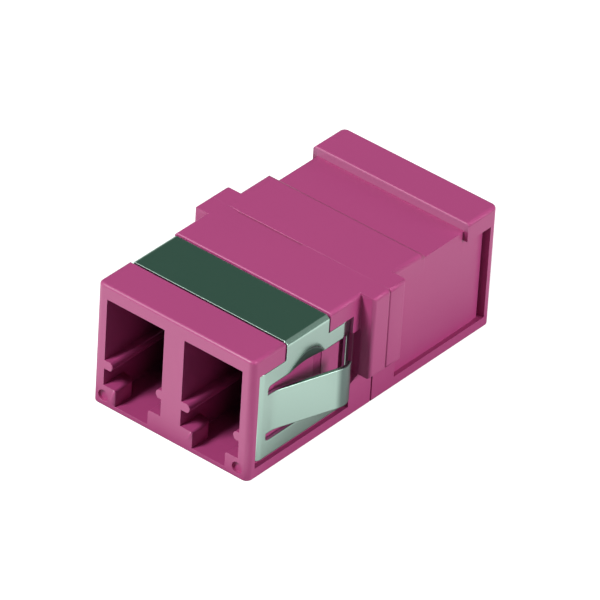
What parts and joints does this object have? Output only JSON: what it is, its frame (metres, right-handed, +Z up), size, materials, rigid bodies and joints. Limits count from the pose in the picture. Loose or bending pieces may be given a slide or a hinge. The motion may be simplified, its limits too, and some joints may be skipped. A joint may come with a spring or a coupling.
{
  "type": "duplex fibre adapter",
  "caption": "Small moulded coupling that lines up fibre plugs end to end, with latch channels, mounting ears and a folded spring clip that snaps it into a panel.",
  "frame": {"origin": "centre of the underside, on the plane where the two moulded halves meet", "axes": "X runs across the two ports, Y along the fibres with the clip's end at -Y, Z up from the latch side to the flat top"},
  "size_m": [0.0156, 0.0238, 0.009],
  "materials": {
    "housing": "semi-matte moulded",
    "sleeve": "ground",
    "clip": "bright rolled strip"
  },
  "bodies": {
    "root": {"front_housing": "housing", "rear_housing": "housing", "left_alignment_sleeve": "sleeve", "right_alignment_sleeve": "sleeve", "spring_clip": "clip"}
  },
  "joints": []
}
